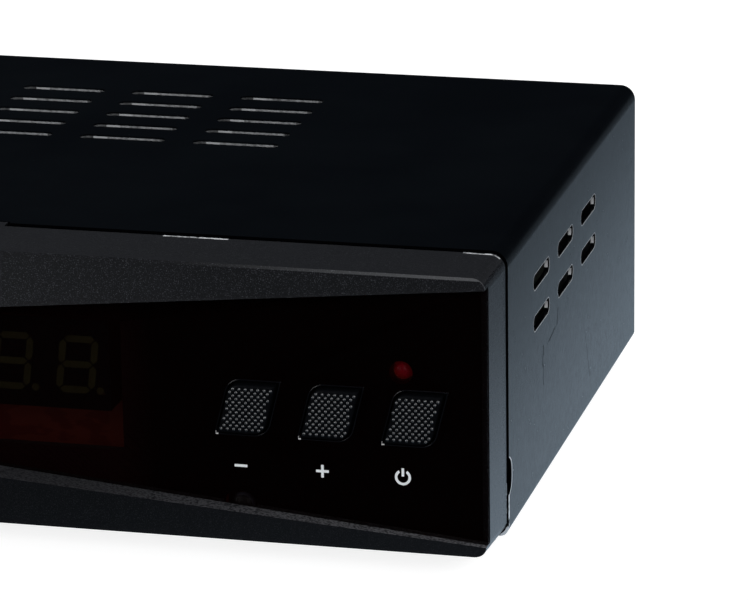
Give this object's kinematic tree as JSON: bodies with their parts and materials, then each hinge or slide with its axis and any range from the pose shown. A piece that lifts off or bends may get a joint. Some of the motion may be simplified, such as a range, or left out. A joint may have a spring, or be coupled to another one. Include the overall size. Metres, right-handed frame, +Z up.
{
  "type": "satellite television receiver",
  "caption": "Set-top satellite receiver: folded black steel case, faceted charcoal front with a smoked window, push buttons, numeric display and rear sockets.",
  "frame": {"origin": "on the surface the rubber feet stand on, under the middle of the whole receiver", "axes": "+X to the right along the front, -Y out of the front, +Z up"},
  "size_m": [0.21, 0.1298, 0.0475],
  "materials": {
    "cover_paint": "satin black baked paint",
    "base_steel": "galvanised sheet",
    "bezel_plastic": "fine charcoal metallic grain",
    "window_smoke": "polished smoked red",
    "button_plastic": "beaded grain",
    "switch_housing": "moulded",
    "switch_plunger": "moulded",
    "front_laminate": "single-sided laminate",
    "board_laminate": "solder mask over copper",
    "power_laminate": "single-sided laminate",
    "display_housing": "moulded",
    "display_bars": "unlit epoxy light bars",
    "led_red": "tinted epoxy",
    "eye_epoxy": "dark epoxy",
    "header_nylon": "natural nylon",
    "ribbon_pvc": "flat cable",
    "wire_pvc": "coloured wires",
    "tuner_tin": "tinned sheet",
    "socket_nickel": "nickel plated thread",
    "jack_black": "moulded",
    "jack_yellow": "collar colour and plated barrel",
    "jack_white": "collar colour and plated barrel",
    "jack_red": "collar colour and plated barrel",
    "port_metal": "nickel plated shell",
    "chip_epoxy": "moulded package",
    "sink_alloy": "extruded",
    "capacitor_sleeve": "shrunk sleeve",
    "coil_ferrite": "ferrite",
    "winding_tape": "taped winding",
    "choke_copper": "enamelled wire",
    "fuse_glass": "glass tube in clips",
    "inlet_black": "moulded",
    "pin_brass": "plated",
    "insulator_fibre": "fibre sheet",
    "screw_steel": "zinc plated",
    "screw_black": "blackened",
    "foot_rubber": "soft"
  },
  "bodies": {
    "root": {"top_cover": "cover_paint", "chassis_base": "base_steel", "front_bezel": "bezel_plastic", "front_window": "window_smoke", "switch_channel_down": "switch_housing", "switch_channel_up": "switch_housing", "switch_power": "switch_housing", "front_board": "front_laminate", "main_board": "board_laminate", "power_board": "power_laminate", "display_body": "display_housing", "display_segments": "display_bars", "power_led": "led_red", "ir_receiver": "eye_epoxy", "ribbon_headers": "header_nylon", "power_headers": "header_nylon", "front_ribbon": "ribbon_pvc", "power_harness": "wire_pvc", "tuner_can": "tuner_tin", "aerial_socket_in": "socket_nickel", "aerial_socket_loop": "socket_nickel", "aerial_socket_nuts": "socket_nickel", "jack_housing": "jack_black", "jack_picture": "jack_yellow", "jack_sound_left": "jack_white", "jack_sound_right": "jack_red", "picture_port": "port_metal", "data_port": "port_metal", "processor": "chip_epoxy", "memory_chip": "chip_epoxy", "flash_chip": "chip_epoxy", "switcher_chip": "chip_epoxy", "heat_sink": "sink_alloy", "main_capacitors": "capacitor_sleeve", "bulk_capacitor": "capacitor_sleeve", "output_capacitors": "capacitor_sleeve", "main_inductors": "coil_ferrite", "transformer_core": "coil_ferrite", "transformer_winding": "winding_tape", "line_filter": "choke_copper", "mains_fuse": "fuse_glass", "mains_inlet": "inlet_black", "mains_pins": "pin_brass", "board_standoffs": "pin_brass", "insulation_sheet": "insulator_fibre", "board_screws": "screw_steel", "front_board_screws": "screw_steel", "cover_screws": "screw_black", "foot_front_left": "foot_rubber", "foot_front_right": "foot_rubber", "foot_rear_left": "foot_rubber", "foot_rear_right": "foot_rubber"},
    "channel_down_key": {"button_channel_down": "button_plastic", "plunger_channel_down": "switch_plunger"},
    "channel_up_key": {"button_channel_up": "button_plastic", "plunger_channel_up": "switch_plunger"},
    "power_key": {"button_power": "button_plastic", "plunger_power": "switch_plunger"}
  },
  "joints": [
    {"name": "channel_down_press", "type": "slide", "parent": "root", "child": "channel_down_key", "axis": [0, 1, 0], "range_m": [0, 0.0005], "stiffness_N_per_m": 3000, "springref_m": -0.0002},
    {"name": "channel_up_press", "type": "slide", "parent": "root", "child": "channel_up_key", "axis": [0, 1, 0], "range_m": [0, 0.0005], "stiffness_N_per_m": 3000, "springref_m": -0.0002},
    {"name": "power_press", "type": "slide", "parent": "root", "child": "power_key", "axis": [0, 1, 0], "range_m": [0, 0.0005], "stiffness_N_per_m": 3000, "springref_m": -0.0002}
  ]
}
